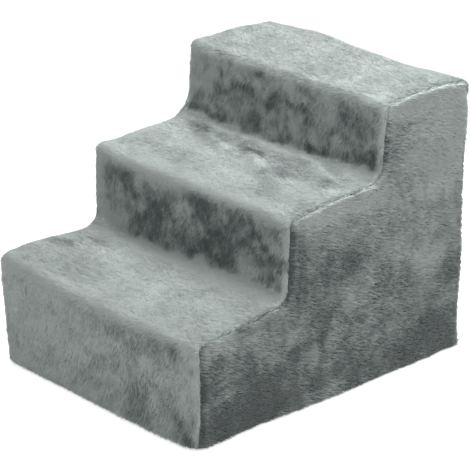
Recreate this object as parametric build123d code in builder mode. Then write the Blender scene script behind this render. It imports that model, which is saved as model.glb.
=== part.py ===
"""Pet stairs: three foam steps in a zipped plush slip cover.

Millimetres. +X is the right side, -Y the low front, +Z up. The origin is on the floor,
under the middle of the stairs.
"""

import os
from build123d import *

# Overall form, over the pile
depth = 444.0
base_width = 346.0
top_taper = 12.0
back_lean = 7.0

# The steps, measured at their lips
first_rise = 129.0
second_rise = 111.0
third_rise = 100.0
first_tread = 145.0
second_tread = 155.0

# How the tight cover shapes the treads: lips drawn down, crowned tops, bridged inner corners
lip_droop = 8.0
top_crown = 5.0
lip_round = 12.0
nook_round = 22.0
crown_start_share = 0.4
crown_reach_share = 0.34
top_crown_share = 0.35

# Cover
cover_thick = 7.0
arris_round = 5.0
hem_round = 9.0
hem_lift = 1.0
back_seam_drop = 20.0

# Anti-slip base
base_thick = 2.5

# Zip route in the back, a U with its open end up
zip_border = 41.0
zip_low = 42.0
zip_top_drop = 52.0
zip_bend = 30.0
channel_half = 7.0

# Zip tape and coil
tape_half = 13.0
tape_thick = 0.6
tape_seat = 1.3
chain_gap = 0.9
coil_wide = 2.5
coil_high = 1.4
chain_end = 8.0

# Zip stops
stop_wide = 3.0
stop_long = 4.0
stop_high = 2.2
stop_corner = 0.5

# Zip slider
slider_long = 11.0
slider_flare = 0.4
slider_corner = 1.2
plate_thick = 0.8
slider_play = 0.2
lug_place_share = 0.5
flange_wide = 0.75
post_wide = 0.5
post_long = 3.0
lug_wide = 1.6
lug_round = 1.2

# Zip pull
pull_long = 24.0
pull_thick = 1.0
pull_neck = 5.0
pull_end = 6.8
pull_corner = 2.2
eye_side_play = 0.2
eye_long = 2.4
grip_hole_wide = 2.2
grip_hole_long = 7.0
grip_hole_edge = 3.4
bar_play = 0.06
bend_clearance = 2.0

# Worked out from the sizes above
front = -depth / 2
back = depth / 2
zip_leg_out = base_width / 2 - zip_border
third_tread = depth - first_tread - second_tread
riser_two = front + first_tread
riser_three = riser_two + second_tread
lip_one = first_rise
lip_two = lip_one + second_rise
lip_three = lip_two + third_rise
plateau_one = lip_one + lip_droop
plateau_two = lip_two + lip_droop
height = lip_three + top_crown
back_seam = lip_three - back_seam_drop
zip_top = lip_three - zip_top_drop
chain_top = zip_top - chain_end
overrun = cover_thick
tape_out = tape_seat + tape_thick
coil_out = tape_out + coil_high
coil_far = chain_gap / 2 + coil_wide
slider_top = chain_top - slider_play
slider_bore = 2 * (coil_far + slider_play)
slider_waist = slider_bore + 2 * flange_wide
plate_low = coil_out + slider_play
plate_out = plate_low + plate_thick
bar_round = pull_thick / 2
bar_level = plate_out + lug_round
bar_height = slider_top - lug_place_share * slider_long
eye_half = lug_wide / 2 + eye_side_play
slider_travel = bar_height - pull_long - zip_low - zip_bend - bend_clearance


def rear(level):
    """How far back the cover's rear face stands at a height."""
    return back - back_lean * (1 - level / height)


def crown(run, rise):
    """The radius that eases a slope of this run and rise into a level top."""
    return crown_reach_share * run * (run + Vector(run, rise).length) / rise


def stair_face(nook):
    """The side view as a filled outline, with inner corners of radius nook."""
    first_run = crown_start_share * first_tread
    second_run = crown_start_share * second_tread
    top_run = top_crown_share * third_tread
    corners = [
        (front, hem_lift),
        (front, lip_one),
        (front + first_run, plateau_one),
        (riser_two, plateau_one),
        (riser_two, lip_two),
        (riser_two + second_run, plateau_two),
        (riser_three, plateau_two),
        (riser_three, lip_three),
        (riser_three + top_run, height),
        (back - top_run, height),
        (rear(lip_three), lip_three),
        (rear(hem_lift), hem_lift),
    ]
    rounds = [hem_round, lip_round, crown(first_run, lip_droop), nook]
    rounds += [lip_round, crown(second_run, lip_droop), nook]
    rounds += [lip_round, crown(top_run, top_crown), crown(top_run, top_crown), lip_round, hem_round]
    with BuildSketch() as view:
        with BuildLine():
            FilletPolyline(*corners, radius=rounds, close=True)
        make_face()
    return view.sketch


def inner_face(nook, kind):
    """The same view one cover thickness in, carried straight down to the hem."""
    slant = Vector(back_lean, height).length / height
    carried = hem_lift + cover_thick + hem_round
    with BuildSketch() as view:
        add(stair_face(nook))
        offset(amount=-cover_thick, kind=kind)
        with BuildLine():
            Polyline(
                (front + cover_thick, hem_lift),
                (rear(hem_lift) - cover_thick * slant, hem_lift),
                (rear(carried) - cover_thick * slant, carried),
                (front + cover_thick, carried),
                close=True,
            )
        make_face()
    return view.sketch


def side_at(level, inset):
    """Half the width at a height, moved in by inset: the sides bow out on their way up."""
    share = level / (height + overrun)
    return (base_width - top_taper * share * share) / 2 - inset


def front_face(inset):
    """The view from the front with its bowed sides, moved in by inset."""
    high = height + overrun
    low_right, middle_right, high_right = [(side_at(level, inset), level) for level in (0, high / 2, high)]
    low_left, middle_left, high_left = [(-side_at(level, inset), level) for level in (0, high / 2, high)]
    with BuildSketch() as view:
        with BuildLine():
            Line(low_left, low_right)
            ThreePointArc(low_right, middle_right, high_right)
            Line(high_right, high_left)
            ThreePointArc(high_left, middle_left, low_left)
        make_face()
    return view.sketch


def back_plane(level):
    """A plane up the leaning back, level above the foam's rear face, measured from the floor."""
    outside = Plane(origin=(0, rear(0), 0), x_dir=(1, 0, 0), z_dir=(0, -height, back_lean))
    return outside.offset(cover_thick - level)


def bar_plane(out):
    """A plane across the pull's bar, out to the right, with its axes outward and up the back."""
    foot = back_plane(0).origin + Vector(out, 0, 0)
    return Plane(origin=foot, x_dir=(0, height, -back_lean), z_dir=(1, 0, 0))


def zip_tongue(spread, top):
    """The area inside the zip's U when the U is grown by spread, up to the height top."""
    half = zip_leg_out + spread
    low = zip_low - spread
    bend = zip_bend + spread
    corners = [(-half, top), (-half, low), (half, low), (half, top)]
    with BuildSketch() as tongue:
        with BuildLine():
            FilletPolyline(*corners, radius=[0, bend, bend, 0], close=True)
        make_face()
    return tongue.sketch


def zip_band(level, thick, near, far, top):
    """A U-shaped strip between two growths of the zip's U, its outer face at level."""
    with BuildPart() as band:
        with BuildSketch(back_plane(level)):
            add(zip_tongue(far, top))
            add(zip_tongue(near, top), mode=Mode.SUBTRACT)
        extrude(amount=thick)
    return band


def finish(piece, name):
    """Label a piece and write it to its own file."""
    piece.part.label = name
    export_step(piece.part, f"parts/{name}.step")


def across(face):
    """A side view drawn out over more than the full width."""
    with BuildPart() as prism:
        with BuildSketch(Plane.YZ.offset(-base_width / 2 - overrun)):
            add(face)
        extrude(amount=base_width + 2 * overrun)
    return prism.part


def along(face):
    """A front view drawn out over the full depth."""
    with BuildPart() as prism:
        with BuildSketch(Plane.XZ.offset(-depth / 2)):
            add(face)
        extrude(amount=depth)
    return prism.part


def round_arris(piece):
    """Halve a piece of the cover's rim, round its corner to the side, and mirror it back."""
    split(bisect_by=Plane.YZ, keep=Keep.TOP)
    rim = []
    for edge in piece.edges():
        middle = edge @ 0.5
        if middle.X > side_at(middle.Z, cover_thick / 2) and not half_way.is_inside(middle):
            rim.append(edge)
    fillet(rim, radius=arris_round)
    mirror(about=Plane.YZ)


def slider_outline():
    """The slider's plates seen from behind, wider at the shoulders than at the waist."""
    waist = slider_waist / 2
    shoulder = waist + slider_flare
    corners = [(-waist, 0), (waist, 0), (shoulder, slider_long), (-shoulder, slider_long)]
    with BuildSketch() as outline:
        with BuildLine():
            FilletPolyline(*corners, radius=slider_corner, close=True)
        make_face()
    return outline.sketch


def pull_outline():
    """The pull, hanging from the bar at its origin, with its eye and grip hole."""
    corners = [
        (-pull_neck / 2, bar_round),
        (-pull_end / 2, -pull_long),
        (pull_end / 2, -pull_long),
        (pull_neck / 2, bar_round),
    ]
    with BuildSketch() as outline:
        with BuildLine():
            FilletPolyline(*corners, radius=[0, pull_corner, pull_corner, 0], close=True)
        make_face()
        Rectangle(2 * eye_half, 2 * eye_long, mode=Mode.SUBTRACT)
        with Locations((0, -pull_long + grip_hole_edge + grip_hole_long / 2)):
            SlotOverall(grip_hole_long, grip_hole_wide, rotation=90, mode=Mode.SUBTRACT)
    return outline.sketch


def foam_slab(low, high, name):
    """One slab of the core, between two heights, with square inner corners under the cover."""
    with BuildPart() as slab:
        add(foam_prism)
        add(inner_walls, mode=Mode.INTERSECT)
        split(bisect_by=Plane.XY.offset(low), keep=Keep.TOP)
        split(bisect_by=Plane.XY.offset(high), keep=Keep.BOTTOM)
    finish(slab, name)


os.makedirs("parts", exist_ok=True)

# The whole block over the pile, and the solid left inside the cover's wall
outer_block = across(stair_face(nook_round)) & along(front_face(0))
inner_prism = across(inner_face(nook_round, Kind.ARC))
half_way = across(offset(stair_face(nook_round), amount=-cover_thick / 2))
inner_walls = along(front_face(cover_thick))
foam_prism = across(inner_face(0, Kind.INTERSECTION))
bar_centre = bar_plane(0).from_local_coords(Vector(bar_level, bar_height, 0)) + Vector(zip_leg_out, 0, 0)
slider_place = Location((zip_leg_out, slider_top - slider_long))

with BuildPart() as back_zone:
    with BuildSketch(back_plane(cover_thick)):
        with Locations((0, -overrun)):
            Rectangle(base_width, back_seam + overrun, align=(Align.CENTER, Align.MIN))
    extrude(amount=cover_thick)

# Plush strip over the front, the treads, the risers and the top
with BuildPart() as step_strip:
    add(outer_block)
    add(inner_prism, mode=Mode.SUBTRACT)
    add(back_zone, mode=Mode.SUBTRACT)
    round_arris(step_strip)
finish(step_strip, "step_strip")

# Plush side panels, inside the strip's edges
with BuildPart() as side_panels:
    add(outer_block)
    add(inner_prism, mode=Mode.INTERSECT)
    add(inner_walls, mode=Mode.SUBTRACT)
    fillet(side_panels.edges().filter_by(Axis.Y).group_by(Axis.Z)[0].sort_by(Axis.X)[0], radius=arris_round)
with BuildPart() as left_side_panel:
    add(side_panels.solids().sort_by(Axis.X)[0])
with BuildPart() as right_side_panel:
    mirror(left_side_panel.part, about=Plane.YZ)
finish(left_side_panel, "left_side_panel")
finish(right_side_panel, "right_side_panel")

# Back: the zip's tapes are caught in the edges of the border and the flap
outer_tape = zip_band(tape_seat + tape_thick, tape_thick, chain_gap / 2, tape_half, zip_top)
inner_tape = zip_band(tape_seat + tape_thick, tape_thick, -tape_half, -chain_gap / 2, zip_top)
finish(outer_tape, "outer_zip_tape")
finish(inner_tape, "inner_zip_tape")

with BuildPart() as flap_zone:
    with BuildSketch(back_plane(cover_thick)):
        add(zip_tongue(-channel_half, zip_top))
        with Locations((0, zip_top)):
            Rectangle(2 * zip_leg_out, back_seam - zip_top, align=(Align.CENTER, Align.MIN))
    extrude(amount=cover_thick)

with BuildPart() as back_flap:
    add(flap_zone)
    add(inner_tape, mode=Mode.SUBTRACT)
finish(back_flap, "back_flap")

with BuildPart() as back_border:
    add(outer_block)
    add(inner_prism, mode=Mode.SUBTRACT)
    add(back_zone, mode=Mode.INTERSECT)
    round_arris(back_border)
    with BuildSketch(back_plane(cover_thick)):
        add(zip_tongue(channel_half, zip_top))
    extrude(amount=cover_thick, mode=Mode.SUBTRACT)
    add(flap_zone, mode=Mode.SUBTRACT)
    add(outer_tape, mode=Mode.SUBTRACT)
finish(back_border, "back_border")

# Zip coils, on the outer face of the tapes
outer_coil = zip_band(coil_out, coil_high, chain_gap / 2, coil_far, chain_top)
inner_coil = zip_band(coil_out, coil_high, -coil_far, -chain_gap / 2, chain_top)
finish(outer_coil, "outer_zip_coil")
finish(inner_coil, "inner_zip_coil")

# Stops: a crimp on each coil over the slider, and one across both coils on the other leg
with BuildPart() as top_stops:
    with BuildSketch(back_plane(tape_out + stop_high)):
        with Locations((zip_leg_out, chain_top + stop_long / 2)):
            with GridLocations(chain_gap + stop_wide, stop_long, 2, 1):
                RectangleRounded(stop_wide, stop_long, stop_corner)
    extrude(amount=stop_high)
finish(top_stops, "zip_top_stops")

with BuildPart() as bottom_stop:
    with BuildSketch(back_plane(tape_out + stop_high)):
        with Locations((-zip_leg_out, chain_top + stop_long / 2)):
            RectangleRounded(chain_gap + 2 * stop_wide, stop_long, stop_corner)
    extrude(amount=stop_high)
finish(bottom_stop, "zip_bottom_stop")

# Slider: two plates joined by a post between the coils, with flanges down the coils' outer sides
with BuildPart() as zip_slider:
    with BuildSketch(back_plane(plate_out)):
        with Locations(slider_place):
            add(slider_outline())
    extrude(amount=plate_thick)
    with BuildSketch(back_plane(tape_seat - slider_play)):
        with Locations(slider_place):
            add(slider_outline())
    extrude(amount=plate_thick)
    with BuildSketch(back_plane(plate_low)):
        with Locations((zip_leg_out, slider_top - post_long)):
            Rectangle(post_wide, post_long)
    extrude(amount=plate_low - tape_seat + slider_play)
    with BuildSketch(back_plane(plate_low)):
        with Locations(slider_place):
            add(slider_outline())
        with Locations((zip_leg_out, slider_top - slider_long / 2)):
            Rectangle(slider_bore, slider_long, mode=Mode.SUBTRACT)
    extrude(amount=plate_low - tape_out - slider_play)
    with BuildSketch(bar_plane(zip_leg_out - lug_wide / 2)):
        with Locations((bar_level, bar_height)):
            Circle(lug_round)
            Rectangle(lug_round, 2 * lug_round, align=(Align.MAX, Align.CENTER))
            Circle(bar_round + bar_play, mode=Mode.SUBTRACT)
    extrude(amount=lug_wide)
finish(zip_slider, "zip_slider")

# Pull: a tapered tab hanging plumb, with a round bar across the eye at its neck
with BuildPart() as zip_pull:
    hanging = Plane(origin=bar_centre, x_dir=(1, 0, 0), z_dir=(0, -1, 0))
    with BuildSketch(hanging.offset(-bar_round)):
        add(pull_outline())
    extrude(amount=pull_thick)
    with BuildSketch(Plane(origin=bar_centre, z_dir=(1, 0, 0))):
        Circle(bar_round)
    extrude(amount=eye_half + bar_round, both=True)
finish(zip_pull, "zip_pull")

# Base: dotted fabric, flush with the floor
with BuildPart() as anti_slip_base:
    with BuildSketch(Plane.XY):
        with Locations((0, front + cover_thick)):
            Rectangle(base_width, rear(0) - front - 2 * cover_thick, align=(Align.CENTER, Align.MIN))
    extrude(amount=base_thick)
    add(inner_walls, mode=Mode.INTERSECT)
finish(anti_slip_base, "anti_slip_base")

# Core: three slabs, glued where each tread starts
foam_slab(base_thick, plateau_one - cover_thick, "base_foam_slab")
foam_slab(plateau_one - cover_thick, plateau_two - cover_thick, "middle_foam_slab")
foam_slab(plateau_two - cover_thick, height, "top_foam_slab")

print("pull bar:", bar_centre, "slider travel:", slider_travel, "down", -back_plane(0).y_dir)
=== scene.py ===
import math
import bpy
import numpy as np
from mathutils import Matrix, Vector, geometry, noise


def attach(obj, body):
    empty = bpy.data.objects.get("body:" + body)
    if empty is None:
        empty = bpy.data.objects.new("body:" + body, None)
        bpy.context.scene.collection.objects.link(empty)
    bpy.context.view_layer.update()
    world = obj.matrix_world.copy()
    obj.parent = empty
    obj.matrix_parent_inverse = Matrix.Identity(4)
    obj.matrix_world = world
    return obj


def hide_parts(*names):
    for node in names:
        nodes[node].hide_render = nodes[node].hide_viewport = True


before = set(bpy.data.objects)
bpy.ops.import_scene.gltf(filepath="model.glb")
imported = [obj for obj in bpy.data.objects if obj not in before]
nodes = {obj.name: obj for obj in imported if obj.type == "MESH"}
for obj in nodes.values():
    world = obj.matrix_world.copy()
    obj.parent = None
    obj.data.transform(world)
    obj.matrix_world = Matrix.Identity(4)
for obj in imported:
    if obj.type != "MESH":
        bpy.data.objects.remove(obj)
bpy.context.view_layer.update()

mm = 0.001
noise.seed_set(5)

# The stairs' sizes, as the part has them
depth, base_width, top_taper, back_lean = 444 * mm, 346 * mm, 12 * mm, 7 * mm
first_rise, second_rise, third_rise = 129 * mm, 111 * mm, 100 * mm
first_tread, second_tread = 145 * mm, 155 * mm
lip_droop, top_crown, lip_round, nook_round = 8 * mm, 5 * mm, 12 * mm, 22 * mm
crown_start_share, top_crown_share, crown_reach_share = 0.4, 0.35, 0.34
cover_thick, arris_round, hem_round, hem_lift, back_seam_drop = 7 * mm, 5 * mm, 9 * mm, 1 * mm, 20 * mm
zip_leg_out, zip_low, zip_top_drop, zip_bend, channel_half = 132 * mm, 42 * mm, 52 * mm, 30 * mm, 7 * mm
tape_out, coil_high, chain_gap, coil_wide, chain_end = 1.9 * mm, 1.4 * mm, 0.9 * mm, 2.5 * mm, 8 * mm

front, back = -depth / 2, depth / 2
third_tread = depth - first_tread - second_tread
riser_two = front + first_tread
riser_three = riser_two + second_tread
lip_one = first_rise
lip_two = lip_one + second_rise
lip_three = lip_two + third_rise
plateau_one = lip_one + lip_droop
plateau_two = lip_two + lip_droop
height = lip_three + top_crown
back_seam = lip_three - back_seam_drop
zip_top = lip_three - zip_top_drop
chain_top = zip_top - chain_end
back_up = Vector((0, back_lean, height)).normalized()
back_out = Vector((0, height, -back_lean)).normalized()
back_foot = Vector((0, back - back_lean, 0))

# The cloth: its backing lies under the pile, and deeper at its seams
pile_deep, cloth_thick = 3.2 * mm, 2.2 * mm
seam_tuck, tuck_reach = 2.4 * mm, 1.9 * mm
seam_step, fill_step = 2.2 * mm, 3.6 * mm


def smooth(value, low, high):
    """A soft step from 0 to 1 between two values."""
    t = np.clip((value - low) / (high - low), 0, 1)
    return t * t * (3 - 2 * t)


def near(value, middle, reach):
    """How near a value is to a middle: 1 there, falling to 0."""
    return np.exp(-((value - middle) / reach) ** 2)


def unit(vectors):
    return vectors / np.maximum(np.linalg.norm(vectors, axis=-1, keepdims=True), 1e-12)


def left_of(way):
    """The unit normals on the left of flat directions."""
    way = unit(way)
    return np.stack([-way[..., 1], way[..., 0]], -1)


def triple(first, second, third=0):
    return np.stack([first, second, np.zeros(len(first)) + third], -1)


def walked_length(line):
    """The length walked along a line, at each of its points."""
    return np.concatenate([[0], np.cumsum(np.linalg.norm(np.diff(line, axis=0), axis=1))])


def face_ways(points, faces):
    """The ways that triangles face."""
    corner = points[faces[:, 0]]
    return np.cross(points[faces[:, 1]] - corner, points[faces[:, 2]] - corner)


# Outline of the stairs in the side view
def rear(level):
    """How far back the cover's rear face stands at a height."""
    return back - back_lean * (1 - level / height)


def half_width(level):
    """Half of the stairs' width at a height, with their bowed sides."""
    return (base_width - top_taper * (level / (height + cover_thick)) ** 2) / 2


def rounded_corners(corners, rounds, closed):
    """A fine line through rounded corners, and the index of the middle of each corner."""
    line, marks = [], []
    count = len(corners)
    for i, (corner, radius) in enumerate(zip(corners, rounds)):
        here = np.array(corner, float)
        if not closed and i in (0, count - 1):
            marks.append(len(line))
            line.append(here)
            continue
        before = unit(np.array(corners[i - 1], float) - here)
        after = unit(np.array(corners[(i + 1) % count], float) - here)
        opening = math.acos(float(np.clip(before @ after, -1, 1)))
        reach = radius / math.tan(opening / 2)
        centre = here + unit(before + after) * radius / math.sin(opening / 2)
        start, end = here + before * reach - centre, here + after * reach - centre
        first = math.atan2(start[1], start[0])
        turn = (math.atan2(end[1], end[0]) - first + math.pi) % (2 * math.pi) - math.pi
        steps = max(6, int(abs(turn) * radius / (0.6 * mm)))
        marks.append(len(line) + steps // 2)
        for k in range(steps + 1):
            angle = first + turn * k / steps
            line.append(centre + radius * np.array((math.cos(angle), math.sin(angle))))
    return np.array(line), marks


class Outline:
    """A line in the side view, walked by its length, with its outward normal."""

    feel = 0.8 * mm

    def __init__(self, corners, rounds):
        line, marks = rounded_corners(corners, rounds, False)
        places = walked_length(line)
        self.marks = [places[m] for m in marks]
        self.line = line[np.append(True, np.diff(places) > 0.0001 * mm)]
        self.along = walked_length(self.line)
        self.length = self.along[-1]

    def at(self, s):
        return np.stack([np.interp(s, self.along, self.line[:, k]) for k in (0, 1)], -1)

    def outward(self, s):
        ahead = self.at(np.minimum(s + self.feel, self.length))
        return left_of(ahead - self.at(np.maximum(s - self.feel, 0)))


def crown(run, rise):
    """The radius that eases a slope into a level top."""
    return crown_reach_share * run * (run + math.hypot(run, rise)) / rise


first_run, second_run = crown_start_share * first_tread, crown_start_share * second_tread
top_run = top_crown_share * third_tread
profile_corners = [
    (front, hem_lift),
    (front, lip_one),
    (front + first_run, plateau_one),
    (riser_two, plateau_one),
    (riser_two, lip_two),
    (riser_two + second_run, plateau_two),
    (riser_three, plateau_two),
    (riser_three, lip_three),
    (riser_three + top_run, height),
    (back - top_run, height),
    (rear(lip_three), lip_three),
    (rear(hem_lift), hem_lift),
]
profile_rounds = [
    hem_round, lip_round, crown(first_run, lip_droop), nook_round,
    lip_round, crown(second_run, lip_droop), nook_round,
    lip_round, crown(top_run, top_crown), crown(top_run, top_crown), lip_round, hem_round,
]
# One walk over the stairs, from under the front hem to under the rear one
walk = Outline(
    [(front + 2 * hem_round, hem_lift)] + profile_corners + [(rear(hem_lift) - 2 * hem_round, hem_lift)],
    [0] + profile_rounds + [0],
)
front_hem_mark, lip_one_mark, _, nook_one_mark, lip_two_mark, _ = walk.marks[1:7]
nook_two_mark, lip_three_mark, _, _, back_lip_mark, back_hem_mark = walk.marks[7:13]
walk_start, walk_end = hem_round + 2 * mm, walk.length - hem_round - 2 * mm
# The walk's length where it comes down the back, from a height measured up the slope
low_level = 60 * mm
slope_low = Vector((0, rear(low_level) - rear(0), low_level)).length
down_the_back = np.linspace(back_lip_mark, back_hem_mark, 4000)
slope_low_place = np.interp(-low_level, -walk.at(down_the_back)[:, 1], down_the_back)


def walk_of_height(level):
    return slope_low_place + (slope_low - level)


# Form of the sewn cover
tight_nook, eased_nook, wide_nook, nook_margin = 9 * mm, 20 * mm, 33 * mm, 14 * mm
low_left_lift, lip_two_lift, lip_three_lift = 10 * mm, 6 * mm, 5 * mm


def seam_depth(outward_up):
    """How far in from the edge the side seam runs: least on treads, further in on risers, none at the hem."""
    return 6.5 * mm - 5.7 * mm * np.clip(outward_up, 0, 1) ** 2 - 6.2 * mm * np.clip(-outward_up, 0, 1) ** 1.5


def nook_line(radius, share):
    """A walk round an inner corner of a radius, out from the corner along the tread and up the riser."""
    run = nook_margin + nook_round - radius
    bend = radius * math.pi / 2
    gone = share * (2 * run + bend)
    turn = np.clip((gone - run) / radius, 0, math.pi / 2)
    forward = np.where(gone < run, nook_margin + nook_round - gone, radius - radius * np.sin(turn))
    upward = np.maximum(gone - run - bend, 0) + radius - radius * np.cos(turn)
    return forward, upward


def nook_shift(across, s, mark, sweep, ease):
    """How an inner corner leaves the plain outline: sewn tight, eased, or swept wide at its left end."""
    half = nook_margin + nook_round * math.pi / 4
    share = (s - mark) / (2 * half) + 0.5
    inside = (share > 0) & (share < 1)
    share = np.clip(share, 0, 1)
    plain, sewn, eased, swept = [
        nook_line(radius, share) for radius in (nook_round, tight_nook, eased_nook, wide_nook)
    ]
    tight = smooth(across, -150 * mm, -105 * mm)
    pulled = sweep * smooth(-across, 115 * mm, 165 * mm)
    moves = []
    for way, sign in ((0, -1), (1, 1)):
        full = tight * (sewn[way] - plain[way]) + ease * (eased[way] - sewn[way])
        full = full + pulled * (swept[way] - plain[way])
        moves.append(sign * np.where(inside, full, 0))
    return np.stack(moves, -1)


def low_left_rise(across, s):
    """How the low tread's left end rises, most of all at its lip."""
    foot = nook_one_mark + 30 * mm
    past_lip = 1 - 0.75 * smooth(s, lip_one_mark, foot)
    along = np.where(s < lip_one_mark, smooth(s, front_hem_mark, lip_one_mark), past_lip)
    along = np.where(s < foot, along, 0) * (1 - smooth(s, nook_one_mark - 30 * mm, foot))
    return low_left_lift * smooth(-across, 20 * mm, 150 * mm) * along


def cover_shift(across, s):
    """Where the sewn cover leaves the plain outline, as a move back and a move up."""
    shift = nook_shift(across, s, nook_one_mark, 0.1, smooth(across, -100 * mm, 70 * mm))
    shift = shift + nook_shift(across, s, nook_two_mark, 1.0, smooth(across, 50 * mm, 120 * mm))
    shift[..., 1] += low_left_rise(across, s)
    for mark, lift in ((lip_two_mark, lip_two_lift), (lip_three_mark, lip_three_lift)):
        shift[..., 1] += lift * smooth(-across, 110 * mm, 165 * mm) * near(s, mark, 24 * mm)
    # The right seam pulls the risers' ends forward towards their feet
    right_end = smooth(across, 115 * mm, 165 * mm)
    for nook, lip, foot_lean, lip_lean, lift in (
        (nook_one_mark, lip_two_mark, 10 * mm, 4 * mm, 6 * mm),
        (nook_two_mark, lip_three_mark, 12 * mm, 0, 2 * mm),
    ):
        lean = foot_lean + (lip_lean - foot_lean) * np.clip((s - nook) / (lip - nook), 0, 1)
        lean = lean * smooth(s, nook - 50 * mm, nook - 4 * mm) * (1 - smooth(s, lip, lip + 40 * mm))
        shift[..., 0] -= right_end * lean
        shift[..., 1] += right_end * lift * near(s, nook - 18 * mm, 26 * mm)
    return shift


def cover_line(across, s):
    """Points of the cover's outer line in the side view."""
    return walk.at(s) + cover_shift(across, s)


def wrap(across, s):
    """A place on the cover's outer form and its normal, from a distance across and one along the walk."""
    place, out = walk.at(s), walk.outward(s)
    flat_half = half_width(place[:, 1]) - arris_round
    place = place + cover_shift(across, s)
    past = np.maximum(np.abs(across) - flat_half, 0)
    turn = np.clip(past / arris_round, 0, math.pi / 2)
    run = np.maximum(past - arris_round * math.pi / 2, 0)
    side = np.sign(across)
    x = np.where(np.abs(across) < flat_half, across, side * (flat_half + arris_round * np.sin(turn)))
    down = arris_round * (1 - np.cos(turn)) + run
    point = np.stack([x, place[:, 0] - out[:, 0] * down, place[:, 1] - out[:, 1] * down], -1)
    normal = np.stack([side * np.sin(turn), out[:, 0] * np.cos(turn), out[:, 1] * np.cos(turn)], -1)
    return point, normal


def reach_across(s):
    """How far across the strip goes before its side seam."""
    place, out = walk.at(s), walk.outward(s)
    deep = seam_depth(out[:, 1])
    turn = np.arccos(np.clip(1 - deep / arris_round, 0, 1))
    past_bend = arris_round * math.pi / 2 + deep - arris_round
    length = np.where(deep < arris_round, arris_round * turn, past_bend)
    return half_width(place[:, 1]) - arris_round + length


# Unevenness by noise
def soft_waves(points, seed):
    """Gentle unevenness of stuffed cloth, a number for each point."""
    shift = Vector((seed * 3.1, seed * 1.7, seed * 0.9))
    waves = []
    for p in points:
        v = Vector(p)
        waves.append(1.3 * noise.noise(v / (60 * mm) + shift) + 0.6 * noise.noise(v / (21 * mm) - shift))
    return np.array(waves) * mm


def crush(points, seed, grain=(1, 1, 1)):
    """Patches where the pile was brushed one way or another, from about -1 to 1 for each point."""
    shift = Vector((seed * 2.3, -seed * 1.1, seed * 4.7))
    patches = []
    for p in points:
        v = Vector((p[0] * grain[0], p[1] * grain[1], p[2] * grain[2]))
        bend = noise.noise_vector(v / (45 * mm) + shift) * 0.7
        big = noise.noise(v / (42 * mm) + bend + shift)
        middle = noise.noise(v / (17 * mm) + bend * 1.5 - shift)
        small = noise.noise(v / (7.5 * mm) - bend + shift)
        patches.append(1.5 * big + 1.1 * middle + 0.6 * small)
    return np.clip(np.array(patches), -1.1, 1.1)


def curled(points, size):
    """Strays of the nap at each point, three numbers from about -1 to 1."""
    return np.array([tuple(noise.noise_vector(Vector(p) / size)) for p in points])


def ragged(across, s):
    """An uneven edge between treads and risers, a number for each place."""
    edge = []
    for a, b in zip(across, s):
        broad = noise.noise(Vector((a / (24 * mm), b / (60 * mm), 3.3)))
        fine = noise.noise(Vector((a / (9 * mm), b / (30 * mm), 8.1)))
        edge.append(broad + 0.6 * fine)
    return np.array(edge)


# Softened corners, and where the cover is fuller or tighter: a place, its reach and its push, in millimetres
corner_pushes = (
    ((-170, -215, 132), (50, 50, 45), (-6, 0, 0)),
    ((-165, 80, 265), (50, 50, 40), (-4, 0, 0)),
    ((-85, 215, 335), (50, 50, 60), (0, 0, 3)),
    ((70, 215, 335), (50, 50, 60), (0, 0, -2)),
    ((165, 222, 300), (50, 50, 40), (3, 2.5, 0)),
    ((165, 222, 100), (40, 40, 30), (1, 1.5, 0)),
    ((173, -140, 0), (50, 80, 25), (-4.5, 0, 0)),
    ((80, -222, 0), (120, 40, 22), (0, -4, 0)),
    ((-60, 215, 335), (40, 50, 60), (0, 0, 2)),
)
foot_fullness, foot_reach = 2.9 * mm, 14 * mm


def soften_bottom(points):
    """Rounds the upright corners more and more towards the floor."""
    points = points.copy()
    x, y, z = points.T
    for ahead, left_round, right_round, reach in (
        (True, 21 * mm, 25 * mm, 55 * mm), (False, 9 * mm, 9 * mm, 30 * mm),
    ):
        floor_round = np.where(x < 0, left_round, right_round)
        rise = np.clip(1 - z / reach, 0, 1) ** 1.5
        radius = arris_round + (floor_round - arris_round) * rise
        side = np.sign(x)
        cx = half_width(z) - radius
        cy = front + radius if ahead else rear(z) - radius
        vx = np.abs(x) - cx
        vy = (cy - y) if ahead else (y - cy)
        inside = (vx > 0) & (vy > 0) & (rise > 0)
        angle = np.arctan2(vy, np.maximum(vx, 1e-9))
        flat = radius - arris_round
        lean = flat * (np.cos(angle) + np.sin(angle))
        on_round = lean + np.sqrt(np.maximum(lean ** 2 - 2 * flat ** 2 + arris_round ** 2, 0))
        on_flat = radius / np.maximum(np.maximum(np.cos(angle), np.sin(angle)), 0.1)
        touch = np.abs(np.tan(np.minimum(angle, math.pi / 2 - angle))) * radius > flat
        scale = np.where(inside, radius / np.where(touch, on_round, on_flat), 1)
        points[:, 0] = np.where(inside, side * (cx + vx * scale), points[:, 0])
        points[:, 1] = np.where(inside, (cy - vy * scale) if ahead else (cy + vy * scale), points[:, 1])
    return points


def settle(points, normal, deep):
    """The cloth's points: its outer form with softened corners and full ends, less the depth of the pile."""
    formed = soften_bottom(points)
    low = deep - foot_fullness * near(formed[:, 2], 0, foot_reach)
    for place, reach, push in corner_pushes:
        away = sum(((formed[:, k] - place[k] * mm) / (reach[k] * mm)) ** 2 for k in range(3))
        formed = formed + np.exp(-away)[:, None] * np.array(push) * mm
    return formed - normal * low[:, None]


def tuck(distance):
    """How much deeper the cloth lies near its seam."""
    return seam_tuck * near(distance, 0, tuck_reach)


# Meshes of cloth
def add_object(name, mesh):
    made = bpy.data.objects.new(name, mesh)
    bpy.context.scene.collection.objects.link(made)
    return made


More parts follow.
